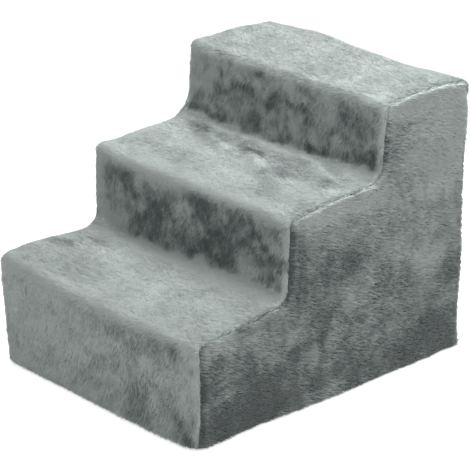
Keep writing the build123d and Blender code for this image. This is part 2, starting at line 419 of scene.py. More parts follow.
def cloth_piece(name, points, faces, values):
    """A mesh object with a named attribute for each set of values."""
    mesh = bpy.data.meshes.new(name)
    mesh.from_pydata([tuple(p) for p in points], [], faces)
    for label, value in values.items():
        kind = "FLOAT_VECTOR" if np.ndim(value) == 2 else "FLOAT"
        layer = mesh.attributes.new(label, kind, "POINT")
        numbers = np.asarray(value, float).ravel()
        layer.data.foreach_set("vector" if kind == "FLOAT_VECTOR" else "value", numbers)
    mesh.update()
    for face in mesh.polygons:
        face.use_smooth = True
    return add_object(name, mesh)


def inside_of(points, line):
    """Whether each point lies inside a closed line."""
    hit = np.zeros(len(points), bool)
    for (x0, y0), (x1, y1) in zip(line, np.roll(line, -1, 0)):
        crosses = (y0 > points[:, 1]) != (y1 > points[:, 1])
        if y1 != y0:
            hit ^= crosses & (points[:, 0] < (x1 - x0) * (points[:, 1] - y0) / (y1 - y0) + x0)
    return hit


def distance_to(points, line):
    """How far each point is from a closed line."""
    best = np.full(len(points), np.inf)
    for start, end in zip(line, np.roll(line, -1, 0)):
        way = end - start
        size = way @ way
        if size < 1e-16:
            continue
        t = np.clip(((points - start) @ way) / size, 0, 1)
        best = np.minimum(best, np.linalg.norm(points - start - t[:, None] * way, axis=1))
    return best


def even_line(points, step):
    """The same closed line with evenly spaced points, corners kept."""
    result = []
    for start, end in zip(points, points[1:] + points[:1]):
        start, end = np.array(start), np.array(end)
        count = max(1, int(round(np.linalg.norm(end - start) / step)))
        for k in range(count):
            result.append(start + (end - start) * k / count)
    return np.array(result)


def edge_rings(line, rings):
    """Points inside a closed line, at a few distances from it."""
    normal = left_of(np.roll(line, -1, 0) - np.roll(line, 1, 0))
    found = []
    for k, ring in enumerate(rings):
        for sign in (1, -1):
            points = (line + sign * normal * ring)[::1 if k == 0 else 2]
            points = points[inside_of(points, line)]
            if len(points):
                found.append(points[distance_to(points, line) > ring * 0.93])
    return found


def fill_outline(line, spacing, rings):
    """Triangles inside a closed line: even points, with rings of closer ones along the edge."""
    low, high = line.min(0), line.max(0)
    grid = []
    for k, v in enumerate(np.arange(low[1], high[1], spacing * 0.866)):
        for u in np.arange(low[0] + (k % 2) * spacing / 2, high[0], spacing):
            grid.append((u, v))
    grid = np.array(grid)
    grid = grid[inside_of(grid, line)]
    grid = grid[distance_to(grid, line) > rings[-1] + spacing * 0.5]
    points = np.vstack([line] + edge_rings(line, rings) + [grid])
    edges = [(k, (k + 1) % len(line)) for k in range(len(line))]
    verts, _, faces, *_ = geometry.delaunay_2d_cdt([Vector(p) for p in points], edges, [], 0, 1e-6)
    verts = np.array([tuple(v) for v in verts])
    faces = np.array([f for f in faces if len(f) == 3])
    return verts, faces[inside_of(verts[faces].mean(1), line)]


# Lighter and darker patches on the cover: partly brushed pile, partly painted shade and light, such as shadow
# under the front lip and at the foot of the high riser, shade low on the side and light high on it. Each
# stroke: its place across and its place up or back from a lip or an inner corner, its half widths, all in
# millimetres, and how much lighter it is
front_strokes = (
    (-120, -50, 60, 36, 0.14), (95, -18, 75, 16, -0.2), (115, -100, 70, 30, -0.26),
    (152, -118, 16, 18, -0.45), (138, -12, 14, 12, -0.35), (-92, -14, 36, 14, 0.4), (160, -76, 12, 46, -0.16),
)
low_tread_strokes = (
    (-142, -66, 24, 16, -0.45), (-126, -34, 22, 16, -0.45), (-140, -112, 24, 20, -0.1),
    (-160, -147, 20, 30, 0.2), (30, -110, 90, 24, 0.1), (60, -56, 26, 20, -0.12),
)
middle_riser_strokes = (
    (-146, 12, 22, 20, 0.5), (-122, 82, 14, 14, -0.4), (-72, 70, 26, 20, -0.5), (28, 28, 14, 12, -0.55),
    (100, 48, 18, 14, -0.5), (122, 34, 16, 12, -0.3), (52, 72, 28, 18, 0.3), (-42, 10, 26, 9, 0.5),
    (155, 44, 12, 20, 0.25), (-160, 56, 10, 24, 0.35),
)
middle_tread_strokes = (
    (70, -58, 30, 26, -0.5), (130, -46, 26, 15, -0.35), (-139, -150, 28, 30, 0.26), (-60, -145, 70, 28, 0.4),
    (40, -106, 36, 22, 0.25), (-125, -14, 28, 12, -0.35), (-60, -4, 30, 8, -0.25), (60, -150, 80, 30, 0.12),
    (-10, -34, 24, 12, -0.5),
)
high_riser_strokes = (
    (148, 84, 24, 26, 0.35), (-68, 72, 22, 22, 0.7), (-134, 40, 14, 16, 0.6), (4, 62, 20, 20, 0.55),
    (-16, 18, 22, 16, 0.7), (-44, 42, 12, 16, 0.35), (55, 16, 20, 10, 0.35), (148, 28, 10, 14, 0.3),
    (102, 40, 12, 20, -0.2), (-148, 6, 40, 10, -0.5),
)
# On the right side: the place in depth and its height
side_strokes = (
    (8, 164, 44, 30, -0.34), (162, 28, 52, 34, -0.5), (-142, 28, 60, 26, -0.5), (168, 300, 34, 60, 0.3),
    (-165, 116, 60, 16, 0.25), (0, 230, 60, 12, 0.4), (165, 150, 30, 18, -0.3), (196, 215, 14, 50, 0.25),
    (122, 90, 32, 44, -0.36), (82, 160, 14, 22, 0.2), (-35, 24, 40, 14, -0.45), (-22, 92, 12, 26, -0.3),
    (185, 6, 22, 16, -0.3), (110, 328, 80, 14, 0.35), (-110, 112, 24, 20, -0.2), (0, 45, 190, 50, -0.08),
    (194, 112, 16, 36, -0.4), (0, 212, 60, 26, 0.09), (165, 330, 28, 16, 0.14), (-130, 26, 50, 20, -0.2),
)
curl_reach = 9 * mm

# Folds across the middle tread, from one place to another, in millimetres
crease_lines = (((-6, 30), (82, -14)), ((34, 74), (118, 36)), ((78, 84), (138, 54)), ((-90, 40), (-30, 14)))
crease_high, crease_wide, shadow_wide = 1.8 * mm, 6.5 * mm, 8 * mm


def brushing_and_painted_shade(u, v, strokes):
    """How much lighter strokes make each place: brushed pile, painted shade and painted light."""
    total = np.zeros(len(u))
    for middle_u, middle_v, wide, long, lighter in strokes:
        away = np.hypot((u / mm - middle_u) / wide, (v / mm - middle_v) / long)
        total += lighter * (1 - smooth(away, 0.35, 1.35))
    return total


def creases(points, wide):
    """Low folds across the middle tread, where the cover was pulled toward its inner corner."""
    on_tread = smooth(points[:, 2], lip_two - 6 * mm, lip_two) * (points[:, 2] < lip_two + 40 * mm)
    high = np.zeros(len(points))
    for start, end in crease_lines:
        start, end = np.array(start) * mm, np.array(end) * mm
        way = end - start
        t = ((points[:, :2] - start) @ way) / (way @ way)
        off = np.linalg.norm(points[:, :2] - start - np.clip(t, 0, 1)[:, None] * way, axis=1)
        high += crease_high * near(off, 0, wide) * on_tread
    return high


# Strip over the front, treads, risers and top
strip_end = walk_of_height(back_seam)
strip_rows, strip_columns, edge_columns = 252, 91, 8
tread_lay = math.radians(38)
tread_shade, riser_shade, front_lighter = 0.86, 0.46, 0.42


def strip_lay(s):
    """How far the place belongs to a tread rather than a riser, from 0 to 1."""
    level = np.zeros_like(s)
    for start, end in (
        (lip_one_mark, nook_one_mark), (lip_two_mark, nook_two_mark), (lip_three_mark, back_lip_mark),
    ):
        begun = 1 / (1 + np.exp(-(s - start + 5 * mm) / (1.5 * mm)))
        ended = 1 / (1 + np.exp(-(s - end) / (1.3 * mm)))
        level += begun - ended
    return np.clip(level, 0, 1)


def seam_pull(across, s):
    """How far the seams draw the change from riser to tread along the walk."""
    right_end, left_end = smooth(across, 100 * mm, 150 * mm), 1 - smooth(across, -130 * mm, -70 * mm)
    before_right = 1 - smooth(across, 50 * mm, 130 * mm)
    pull = (8 * mm + 6 * mm * right_end) * near(s, nook_one_mark, 30 * mm)
    pull += (4 * mm + 7 * mm * right_end) * near(s, nook_two_mark, 30 * mm)
    pull -= (2 * mm + 8 * mm * before_right + 5 * mm * left_end) * near(s, lip_one_mark, 30 * mm)
    return pull


class Strip:
    """The strip's grid of places, and how its pile lies on them."""

    def __init__(self):
        rows = np.linspace(walk_start, strip_end, strip_rows)
        reach = reach_across(rows)
        flat_half = half_width(walk.at(rows)[:, 1]) - arris_round
        edge_steps = np.linspace(0, 1, edge_columns + 1)[1:]
        columns = [-(flat_half + (reach - flat_half) * t) for t in edge_steps[::-1]]
        columns += [flat_half * t for t in np.linspace(-1, 1, strip_columns)]
        columns += [flat_half + (reach - flat_half) * t for t in edge_steps]
        across = np.stack(columns, 1)
        self.width = across.shape[1]
        self.across, self.walked = across.ravel(), np.repeat(rows, self.width)
        self.from_seam = (reach[:, None] - np.abs(across)).ravel()
        self.end_seam = np.minimum(self.walked - walk_start, strip_end - self.walked)
        self.point, self.normal = wrap(self.across, self.walked)
        self.curls = curled(self.point, 17 * mm)
        pull = seam_pull(self.across, self.walked)
        self.lay = strip_lay(self.walked - pull + 5 * mm * ragged(self.across, self.walked))
        self.riser = 1 - self.lay
        self.front_face = self.riser * (self.walked < lip_one_mark + 15 * mm)
        self.on_top = self.lay * (self.walked > lip_three_mark)
        self.calm = smooth(self.walked, back_lip_mark - 30 * mm, back_lip_mark - 8 * mm)
        self.edge = near(self.from_seam, 0, 7 * mm)
        past_flat = np.abs(self.across) - np.repeat(flat_half, self.width)
        self.bent = np.clip(past_flat / (2 * mm), 0, 1)
        self.band = np.clip((past_flat + 4 * mm) / (3 * mm), 0, 1)

    def cloth(self):
        deep = pile_deep + tuck(self.from_seam) + tuck(self.end_seam) - soft_waves(self.point, 1)
        return settle(self.point, self.normal, deep - creases(self.point, crease_wide))

    def faces(self):
        width = self.width
        starts = [i * width + j for i in range(strip_rows - 1) for j in range(width - 1)]
        return [(k, k + 1, k + width + 1, k + width) for k in starts]

    def nap(self):
        """The way that the pile lies: aslant over the treads, down the risers and along the side seams."""
        forward = cover_line(self.across, self.walked + mm) - cover_line(self.across, self.walked - mm)
        forward = unit(np.stack([np.zeros(len(forward)), forward[:, 0], forward[:, 1]], -1))
        over = unit(np.cross(self.normal, forward) * -1)
        swing = self.lay * (1 - self.edge)
        nap = over * (-math.cos(tread_lay) * swing)[:, None]
        nap += forward * (-math.sin(tread_lay) * swing - (1 - swing))[:, None]
        return unit(nap)

    def flow(self):
        """Places along and beside the nap, for its streaks."""
        on_tread, cos, sin = self.lay > 0.5, math.cos(tread_lay), math.sin(tread_lay)
        along = np.where(on_tread, cos * self.across + sin * self.walked, self.walked)
        beside = np.where(on_tread, cos * self.walked - sin * self.across, self.across)
        stray = curl_reach * self.riser
        return triple(along + stray * self.curls[:, 0], beside + stray * self.curls[:, 1])

    def thick(self):
        """How densely the pile grows: not under the front hem, and sparsely at the seams."""
        hidden = np.clip((self.walked - walk_start - 1 * mm) / (4 * mm), 0, 1)
        at_sides = np.clip(self.from_seam / (1.6 * mm), 0.25, 1)
        return hidden * (1 + 0.8 * self.bent) * at_sides * np.clip(self.end_seam / (1.6 * mm), 0.2, 1)

    def short(self):
        return 0.55 + 0.45 * np.clip(np.minimum(self.from_seam, self.end_seam) / (3.5 * mm), 0, 1)

    def tousled(self):
        faces = 0.6 * self.lay + 1.7 * self.riser - 0.5 * self.front_face
        return faces * (1 - 0.85 * self.edge) * (1 - 0.6 * self.calm)

    def patches(self):
        """Crushed patches, with a seed of their own on each face."""
        patches = crush(self.point, 1)
        for low, high, seed in (
            (0, lip_one_mark, 4749), (lip_one_mark, nook_one_mark, 4273), (nook_one_mark, lip_two_mark, 7609),
            (lip_two_mark, nook_two_mark, 4412), (nook_two_mark, lip_three_mark, 7783),
        ):
            here = (self.walked > low) & (self.walked <= high)
            patches[here] = crush(self.point[here], seed)
        return patches

    def face_shade(self):
        """How light each face is, with its crushed patches and its strokes."""
        s, lay, riser, on_top, front_face = self.walked, self.lay, self.riser, self.on_top, self.front_face
        patches = self.patches()
        shade = tread_shade * lay + riser_shade * riser + front_lighter * front_face - 0.05 * on_top
        shade -= 0.24 * on_top * smooth(s, lip_three_mark + 30 * mm, back_lip_mark)
        shade += patches * (0.15 * lay + 0.54 * riser * (1 - self.calm) - 0.26 * front_face - 0.08 * on_top)
        to_left = smooth(-self.across, 20 * mm, 120 * mm)
        shade += to_left * (0.1 * riser * (s > nook_two_mark) + 0.07 * front_face)
        stray_across = self.across + curl_reach * self.curls[:, 2]
        stray_walked = s + curl_reach * self.curls[:, 0]
        # Strokes of brushed pile, painted shade and painted light
        for mark, strokes in (
            (lip_one_mark, front_strokes), (nook_one_mark, low_tread_strokes),
            (nook_one_mark, middle_riser_strokes), (nook_two_mark, middle_tread_strokes),
            (nook_two_mark, high_riser_strokes),
        ):
            shade += brushing_and_painted_shade(stray_across, stray_walked - mark, strokes)
        behind = smooth(s, back_lip_mark - 8 * mm, back_lip_mark + 8 * mm)
        return shade + behind * (0.5 + 0.22 * patches - shade)

    def edge_shade(self):
        """Painted light and shade on the pile at folds, lips, inner corners, the risers' ends and seams."""
        across, s, lay, right = self.across, self.walked, self.lay, self.across > 0
        # Painted light on the near side of each fold and painted shade on its far side
        lit = creases(self.point - np.array([-3 * mm, 0.5 * mm, 0]), crease_wide)
        unlit = creases(self.point + np.array([-4 * mm, 5 * mm, 0]), shadow_wide)
        shade = 0.1 * (lit - unlit) / crease_high
        # Painted light on the treads where they bend up into the inner corners
        for mark in (nook_one_mark, nook_two_mark):
            shade += 0.65 * lay * smooth(s, mark - 16 * mm, mark + 2 * mm) * (s < mark + 20 * mm)
        # Painted shadow on the middle tread at the foot of the high riser
        middle = smooth(across, -140 * mm, -110 * mm) * (1 - smooth(across, 70 * mm, 110 * mm))
        shade -= 0.36 * lay * middle * near(s, nook_two_mark - 26 * mm, 16 * mm)
        # Painted light on the lips where they round over, most at their left ends
        left_end = 1 - smooth(across, -150 * mm, -120 * mm)
        for mark, lighter in ((lip_one_mark, 0.36), (lip_two_mark, 0.34), (lip_three_mark, 0)):
            shade += lighter * near(s, mark, 8 * mm) + 0.35 * left_end * near(s, mark - 3 * mm, 9 * mm)
        # Painted light on the risers' and the front's rounded ends, and painted shade on the treads' bent
        # edges, which face the lamp
        high_up = smooth(s, lip_one_mark, lip_one_mark + 30 * mm) * (1 - self.calm)
        ends = 0.55 * self.band * right + 0.45 * (1 - smooth(across, -167 * mm, -135 * mm))
        shade += self.riser * high_up * ends
        shade += 0.26 * self.band * self.front_face * right - 0.14 * self.bent * lay
        # Painted shade in the groove of the side seams, weaker on the top
        return shade - 0.5 * near(self.from_seam, 0, 1.3 * mm) * (1 - 0.85 * self.on_top)


def make_strip():
    strip = Strip()
    return cloth_piece("plush_strip_cloth", strip.cloth(), strip.faces(), {
        "shade": strip.face_shade() + strip.edge_shade(), "tousled": strip.tousled(), "nap": strip.nap(),
        "flow": strip.flow(), "thick": strip.thick(), "short": strip.short(),
        "pelt": triple(strip.across, strip.walked),
    })


# Side panels, filled into the stairs' outline inside the seam
side_lay = np.array([0, 1, -0.295]) / math.hypot(1, 0.295)
side_rings = (1.1 * mm, 2.4 * mm, 4.2 * mm)


def side_lines(side):
    """The seam's line and the cover's outer line, closed under the base."""
    s = np.append(np.arange(walk_start, walk_end, seam_step), walk_end)
    reach = side * reach_across(s)
    outer = cover_line(reach, s)
    seam = wrap(reach, s)[0][:, 1:]
    gap = seam[0] - seam[-1]
    wide = np.linalg.norm(gap)
    under = np.arange(1, int(wide / seam_step)) * seam_step / wide
    seam = np.vstack([seam, seam[-1] + gap * under[:, None]])
    return seam, np.vstack([outer, outer[-1] + (outer[0] - outer[-1]) * under[:, None]])


def side_shade(side, point, sewn, rim_out, slope):
    """How light the side's pile is: patches and strokes, painted light towards the top and back, painted
    shade near the floor, and painted light and shade at its edges and seams.
    """
    ahead, up = point[:, 1], point[:, 2]
    # Painted light: the side lighter towards its top and back, darker low at the front
    toward_top_back = np.clip(0.5 + (ahead / depth + up / height - 0.6) * 0.7, 0, 1)
    there = point * (side, 1, 1)
    patches = 0.7 * crush(there, 2305, (1, 1.1, 0.45)) + 0.6 * crush(there, 3711, (1, 0.8, 1.2))
    patchy = 0.4 if side > 0 else 0.24
    shade = 0.27 + 0.74 * toward_top_back + patchy * patches * (1 - 0.3 * toward_top_back)
    if side > 0:
        curls = curled(point, 19 * mm)
        # Strokes of brushed pile, painted shade and painted light
        shade += brushing_and_painted_shade(ahead + curl_reach * curls[:, 1], up + curl_reach * curls[:, 2], side_strokes)
    top_rim, front_rim = np.clip(rim_out[:, 1], 0, 1), np.clip(-rim_out[:, 0], 0, 1)
    # Painted light along the side just under the treads' seams
    shade += 0.22 * near(sewn, 0, 18 * mm) * top_rim
    shade -= 0.28 * near(ahead, rear(up), 12 * mm) * (1 - smooth(up, 170 * mm, 240 * mm))
    # Painted shade beside the risers' seams
    shade -= 0.1 * near(sewn, 11 * mm, 9 * mm) * front_rim
    topmost = smooth(up, lip_three - 12 * mm, lip_three + 2 * mm)
    # Painted shade on the rim that turns up to the lamp, against the light it catches
    shade -= (shade - 0.35 - 0.2 * topmost) * slope * top_rim
    # Painted shade near the floor and in the seam's groove
    shade -= 0.14 * np.exp(-up / (30 * mm)) + 0.4 * near(sewn, 0, 1.3 * mm) * (1 - 0.85 * topmost)
    # Painted shade along the upper seams, where the up-turned tufts catch the light
    return shade - 0.3 * near(sewn, 0, 3.5 * mm) * top_rim


def make_side(name, side):
    """A side panel: side is 1 for the right one and -1 for the left one."""
    seam, outer = side_lines(side)
    out = left_of(np.roll(outer, -1, 0) - np.roll(outer, 1, 0))
    verts, faces = fill_outline(seam, fill_step, side_rings)
    ahead, up = verts.T
    from_seam = distance_to(verts, seam)
    turned = np.clip(arris_round - distance_to(verts, outer), 0, arris_round)
    drop = arris_round - np.sqrt(np.maximum(arris_round ** 2 - turned ** 2, 0))
    slope = turned / arris_round
    nearest = np.argmin(((verts[:, None, :] - outer[None, ::4, :]) ** 2).sum(-1), axis=1)
    rim_out = out[::4][nearest]
    # Along the floor there is no seam, as the panel runs on under the stairs
    sewn = from_seam + 50 * mm * smooth(30 * mm - up, 14 * mm, 24 * mm) * (rim_out[:, 1] < -0.5)
    point = np.stack([side * (half_width(up) - drop), ahead, up], -1)
    level = np.sqrt(1 - slope ** 2)
    normal = unit(np.stack([level, rim_out[:, 0] * slope, rim_out[:, 1] * slope], -1)) * (side, 1, 1)
    puff = 0.6 * mm * near(from_seam, 5 * mm, 4 * mm)
    cloth = settle(point, normal, pile_deep + tuck(sewn) - puff - soft_waves(point, 2 + side))
    faces = faces if side < 0 else faces[:, ::-1]
    if (face_ways(cloth, faces)[:, 0] * side).sum() < 0:
        faces = faces[:, ::-1]
    hidden = np.clip((up - 0.5 * mm) / (2 * mm), 0, 1)
    return cloth_piece(name, cloth, faces.tolist(), {
        "shade": side_shade(side, point, sewn, rim_out, slope),
        "tousled": 1.2 * (1 - 0.8 * near(sewn, 0, 6 * mm)), "nap": np.repeat(side_lay[None], len(cloth), 0),
        "flow": triple(ahead * side_lay[1] + up * side_lay[2], up * side_lay[1] - ahead * side_lay[2], side),
        "thick": hidden * np.clip(sewn / (1.6 * mm), 0.25, 1),
        "short": 0.5 + 0.5 * np.clip(sewn / (4 * mm), 0, 1), "pelt": triple(ahead, up),
    })


# Back: a border and a flap, with the zip's channel between them
back_rings = (1.1 * mm, 2.4 * mm)


def zip_u(spread, top, step):
    """The zip's U, grown by spread, as points from its top right, round the bottom, to its top left."""
    half, low, bend = zip_leg_out + spread, zip_low - spread, zip_bend + spread
    corners = [(half, top), (half, low), (-half, low), (-half, top)]
    line, _ = rounded_corners(corners, [0, bend, bend, 0], False)
    along = walked_length(line)
    places = np.linspace(0, along[-1], int(along[-1] / step))
    return np.stack([np.interp(places, along, line[:, k]) for k in (0, 1)], -1)


def back_piece(name, line, seed):
    """A panel of the back, laid out flat as distances across and along the walk, then wrapped round."""
    verts, faces = fill_outline(line, fill_step, back_rings)
    across, walked = verts.T
    point, normal = wrap(across, walked)
    from_seam = distance_to(verts, line)
    cloth = settle(point, normal, pile_deep + tuck(from_seam) * 0.85 - soft_waves(point, seed))
    if (face_ways(cloth, faces) * normal[faces[:, 0]]).sum() < 0:
        faces = faces[:, ::-1]
    hidden = np.clip((walk_end - 1 * mm - walked) / (4 * mm), 0, 1)
    return cloth_piece(name, cloth, faces.tolist(), {
        # Painted shade in the seam's groove
        "shade": 0.5 + 0.22 * crush(point, seed) - 0.4 * near(from_seam, 0, 1.3 * mm),
        "tousled": 1.0 - 0.7 * near(from_seam, 0, 6 * mm),
        "nap": np.repeat(-np.array(back_up)[None], len(cloth), 0), "flow": triple(walked, across, 7),
        "thick": hidden * np.clip(from_seam / (1.6 * mm), 0.2, 1),
        "short": 0.55 + 0.45 * np.clip(from_seam / (3.5 * mm), 0, 1), "pelt": triple(across, walked),
    })


def make_flap():
    tongue = [tuple(p) for p in zip_u(-channel_half, zip_top, seam_step)]
    top = [
        (zip_leg_out, zip_top), (zip_leg_out, back_seam), (-zip_leg_out, back_seam), (-zip_leg_out, zip_top),
    ]
    line = even_line(top + tongue[::-1], seam_step)
    return back_piece("plush_flap_cloth", np.stack([line[:, 0], walk_of_height(line[:, 1])], -1), 5)


def make_border():
    sides = np.append(np.arange(strip_end, walk_end, seam_step), walk_end)
    right = list(zip(reach_across(sides), sides))
    seat = walk_of_height(zip_top)
    u_line = [(x, walk_of_height(level)) for x, level in zip_u(channel_half, zip_top, seam_step)]
    line = [(zip_leg_out, strip_end)] + right + [(-across, walked) for across, walked in reversed(right)]
    line += [(-zip_leg_out, strip_end), (-zip_leg_out, seat)] + u_line[::-1] + [(zip_leg_out, seat)]
    return back_piece("plush_border_cloth", even_line(line, seam_step), 6)


# Trees of nodes, for materials and for pieces made by rules
class Tree:
    """A tree whose nodes are put down and joined in one call each."""

    def __init__(self, tree):
        self.tree = tree

    def feed(self, slot, value):
        if isinstance(value, bpy.types.NodeSocket):
            self.tree.links.new(value, slot)
        else:
            slot.default_value = value

    def put(self, kind, settings=None, out=0, **values):
        """Adds a node and gives an output. Inputs are numbered, as _0, or named, with _ for a space."""
        node = self.tree.nodes.new(kind)
        for label, value in (settings or {}).items():
            setattr(node, label, value)
        for label, value in values.items():
            self.feed(node.inputs[int(label[1:]) if label[0] == "_" else label.replace("_", " ")], value)
        return node.outputs[out] if node.outputs else None

    def maths(self, kind, first, second=0.0):
        return self.put("ShaderNodeMath", {"operation": kind}, _0=first, _1=second)

    def vectors(self, kind, first, second):
        out = 1 if kind == "DOT_PRODUCT" else 0
        return self.put("ShaderNodeVectorMath", {"operation": kind}, out, _0=first, _1=second)

    def scaled(self, vector, scale):
        return self.put("ShaderNodeVectorMath", {"operation": "SCALE"}, _0=vector, Scale=scale)

    def cloudy(self, place, scale, detail, out="Fac"):
        return self.put("ShaderNodeTexNoise", out=out, Vector=place, Scale=scale, Detail=detail)

    def looking(self):
        """1 where a ray comes from the camera, straight or by way of a mirror or glass."""
        path = self.put("ShaderNodeLightPath").node.outputs
        seen = self.maths("MAXIMUM", path["Is Camera Ray"], path["Is Glossy Ray"])
        return self.maths("MAXIMUM", seen, path["Is Transmission Ray"])


class Rule(Tree):
    """Geometry nodes with named inputs, run on an object to make a plain mesh."""

    def __init__(self, name, inputs):
        super().__init__(bpy.data.node_groups.new(name, "GeometryNodeTree"))
        self.sockets = {}
        for label, kind in inputs:
            item = self.tree.interface.new_socket(name=label, in_out="INPUT", socket_type="NodeSocket" + kind)
            self.sockets[label] = item.identifier
        self.tree.interface.new_socket(name="Made", in_out="OUTPUT", socket_type="NodeSocketGeometry")
        self.given = self.tree.nodes.new("NodeGroupInput").outputs

    def named(self, label, kind="FLOAT"):
        return self.put("GeometryNodeInputNamedAttribute", {"data_type": kind}, _0=label)

    def stored(self, formed, domain, label, value):
        settings = {"data_type": "FLOAT", "domain": domain}
        return self.put(
            "GeometryNodeStoreNamedAttribute", settings, Name=label, Geometry=formed, Value=value)

    def close(self, formed):
        real = self.put("GeometryNodeRealizeInstances", _0=formed)
        painted = self.put("GeometryNodeSetMaterial", _0=real, Material=self.given["Finish"])
        self.put("NodeGroupOutput", _0=painted)

    def run(self, source, values):
        """The mesh that the rule makes from an object."""
        live = source.modifiers.new("rule", "NODES")
        live.node_group = self.tree
        for label, value in values.items():
            live[self.sockets[label]] = value
        made = bpy.data.meshes.new_from_object(source.evaluated_get(bpy.context.evaluated_depsgraph_get()))
        source.modifiers.remove(live)
        return made


class Paint(Tree):
    """A material with its main shader."""

    def __init__(self, name):
        self.material = bpy.data.materials.new(name)
        self.material.use_nodes = True
        super().__init__(self.material.node_tree)
        self.place = self.put("ShaderNodeTexCoord", out="Object")

    def grain(self, scale, detail, stretch=None, place=None):
        place = place or self.place
        if stretch:
            place = self.put("ShaderNodeMapping", Scale=stretch, Vector=place)
        return self.cloudy(place, scale, detail)

    def ramp(self, value, low, high, start, end):
        reach = {"From_Min": low, "From_Max": high, "To_Min": start, "To_Max": end}
        return self.put("ShaderNodeMapRange", Value=value, **reach)

    def mixed(self, factor, dark, light):
        ends = {"A": (*dark, 1), "B": (*light, 1)}
        return self.put("ShaderNodeMix", {"data_type": "RGBA"}, "Result", **ends, Factor=factor)

    def bump(self, value, strength, distance):
        return self.put("ShaderNodeBump", Strength=strength, Distance=distance, Height=value)

    def finish(self, **values):
        """Sets the main shader's inputs, with _ for a space, and gives the material."""
        shader = self.tree.nodes["Principled BSDF"].inputs
        for label, value in values.items():
            self.feed(shader[label.replace("_", " ")], value)
        return self.material


# Finishes
plush_deep, plush_bright = (0.098, 0.128, 0.124), (0.60, 0.665, 0.645)


def plush_finish(name, rooted):
    """Grey-green plush: brushed patches, streaks and clumps along the nap, with painted shade at the roots.
    """
    paint = Paint(name)

    def painted(label, output="Fac"):
        return paint.put("ShaderNodeAttribute", {"attribute_name": label}, output)

    blots = paint.grain(150, 2)
    streaks = paint.grain(430, 1, (0.22, 1, 1), painted("flow", "Vector"))
    level = paint.maths("ADD", painted("shade"), paint.ramp(blots, 0.3, 0.7, -0.07, 0.07))
    level = paint.maths("ADD", level, paint.ramp(streaks, 0.34, 0.66, -0.25, 0.21))
    if rooted:
        level = paint.maths("ADD", level, paint.ramp(painted("tone"), 0, 1, -0.12, 0.12))
        # Painted shade deep in the pile: tufts darker at their roots, lighter at their tips
        level = paint.maths("ADD", level, paint.ramp(painted("tip"), 0, 1, -0.3, 0.16))
    else:
        # Painted shade on the backing, which lies at the pile's roots
        level = paint.maths("SUBTRACT", level, 0.3)
    colour = paint.mixed(level, plush_deep, plush_bright)
    sheen = {"Sheen_Weight": 0.3, "Sheen_Roughness": 0.4}
    return paint.finish(Base_Color=colour, Roughness=0.75, Specular_IOR_Level=0.3, **sheen)


def even_finish(name, dark, light, scale, rough, bump, stretch=None, metallic=0.0):
    """Two close shades broken up by noise, with a fine relief."""
    paint = Paint(name)
    grain = paint.grain(scale, 4, stretch)
    colour = paint.mixed(paint.ramp(grain, 0.35, 0.65, 0, 1), dark, light)
    roughness = paint.ramp(grain, 0.3, 0.7, rough - 0.08, rough + 0.08)
    relief = paint.bump(grain, bump, 0.3 * mm)
    return paint.finish(Base_Color=colour, Roughness=roughness, Metallic=metallic, Normal=relief)


def woven_finish(name, dark, light, pitch):
    """A plain weave: two crossed sets of threads."""
    paint = Paint(name)
    parts = paint.put("ShaderNodeSeparateXYZ", _0=paint.place).node.outputs
    threads = []
    for place in (parts["X"], paint.maths("ADD", parts["Z"], parts["Y"])):
        threads.append(paint.maths("SINE", paint.maths("MULTIPLY", place, 2 * math.pi / pitch)))
    weave = paint.maths("MULTIPLY", *threads)
    fuzz = paint.ramp(paint.grain(900, 2), 0.3, 0.7, -0.2, 0.3)
    level = paint.maths("ADD", paint.ramp(weave, -1, 1, 0.1, 0.7), fuzz)
    relief = paint.bump(weave, 0.5, 0.15 * mm)
    return paint.finish(Base_Color=paint.mixed(level, dark, light), Roughness=0.8, Normal=relief)


fibre = plush_finish("plush_pile", True)
backing = plush_finish("plush_backing", False)
foam_finish = even_finish("core_foam", (0.50, 0.47, 0.38), (0.66, 0.62, 0.50), 700, 0.9, 0.5)
base_cloth_finish = woven_finish("base_cloth", (0.035, 0.038, 0.040), (0.085, 0.09, 0.092), 1.1 * mm)
rubber_finish = even_finish("grip_rubber", (0.11, 0.115, 0.115), (0.16, 0.165, 0.165), 300, 0.55, 0.2)
tape_finish = woven_finish("tape_weave", (0.10, 0.115, 0.11), (0.26, 0.285, 0.275), 0.9 * mm)
coil_finish = even_finish("coil_nylon", (0.17, 0.19, 0.185), (0.25, 0.275, 0.265), 260, 0.42, 0.05)
thread_finish = even_finish("thread", (0.30, 0.33, 0.32), (0.44, 0.47, 0.46), 1500, 0.75, 0.2)
metal_finish = even_finish(
    "zip_metal", (0.16, 0.165, 0.17), (0.24, 0.245, 0.25), 220, 0.34, 0.12, (1, 1, 0.15), 1.0)


# Pile
per_m2 = 800000
pile_length, pile_width = 6.3 * mm, 1.2 * mm


